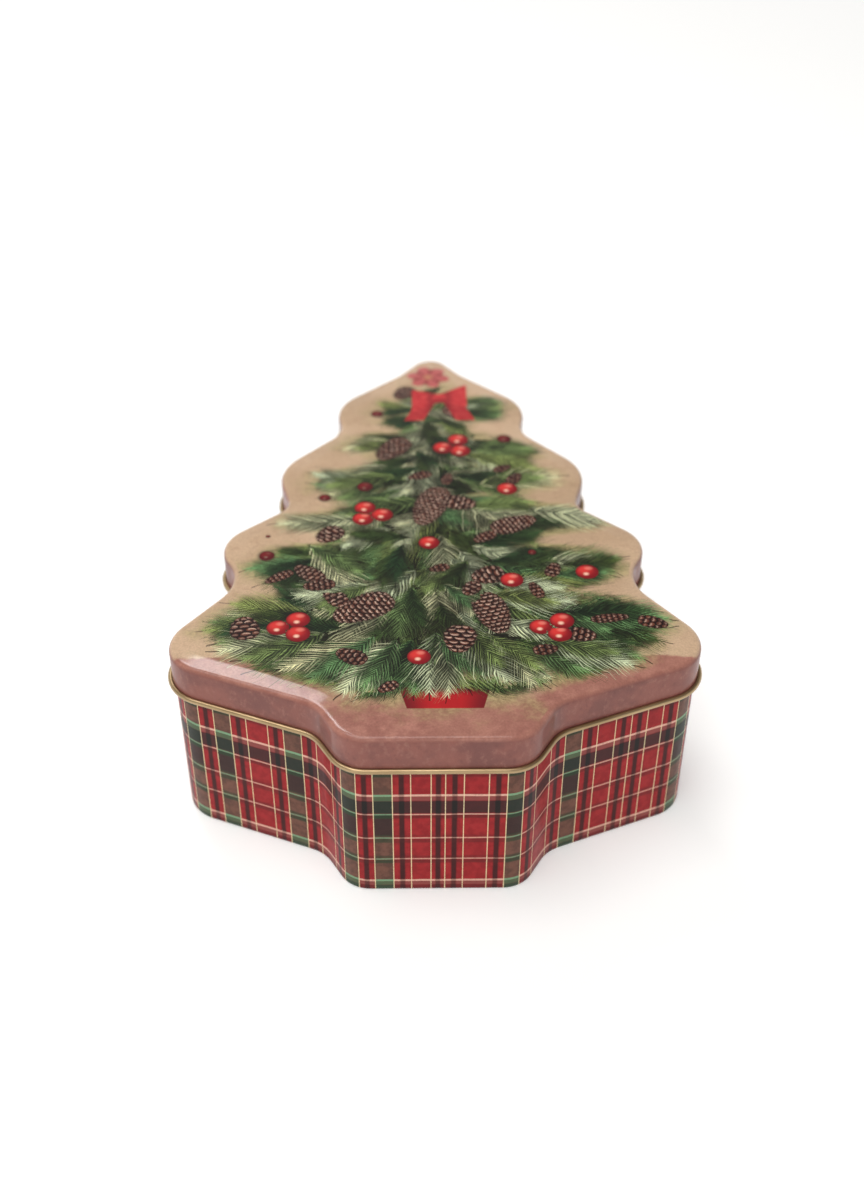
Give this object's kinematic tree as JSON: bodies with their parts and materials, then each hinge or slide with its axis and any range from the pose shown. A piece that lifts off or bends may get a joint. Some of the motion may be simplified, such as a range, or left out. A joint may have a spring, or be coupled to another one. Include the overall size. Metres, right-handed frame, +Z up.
{
  "type": "cookie tin",
  "caption": "Tree-shaped printed tinplate cookie tin with a slip-on lid, a curled skirt edge and a straight wall rolled round an inserted base.",
  "frame": {"origin": "centre of the tin's footprint at table level", "axes": "+X across the tree, +Y from the trunk's foot towards the tree's tip, +Z up through the lid"},
  "size_m": [0.1886, 0.2524, 0.074],
  "materials": {
    "lid_print": "printed and varnished tinplate: evergreen artwork on tan above, brown skirt, gold lacquer on the curl and inside",
    "wall_print": "printed and varnished tinplate: red, brown, green and cream plaid outside, gold lacquer inside",
    "plain_tinplate": "gold-lacquered tinplate on both faces"
  },
  "bodies": {
    "tin_body": {"body_wall": "wall_print", "base_panel": "plain_tinplate"},
    "tin_lid": {"lid": "lid_print"}
  },
  "joints": [
    {"name": "lid_lift", "type": "slide", "parent": "tin_body", "child": "tin_lid", "axis": [0, 0, 1], "range_m": [0, 0.08]}
  ]
}
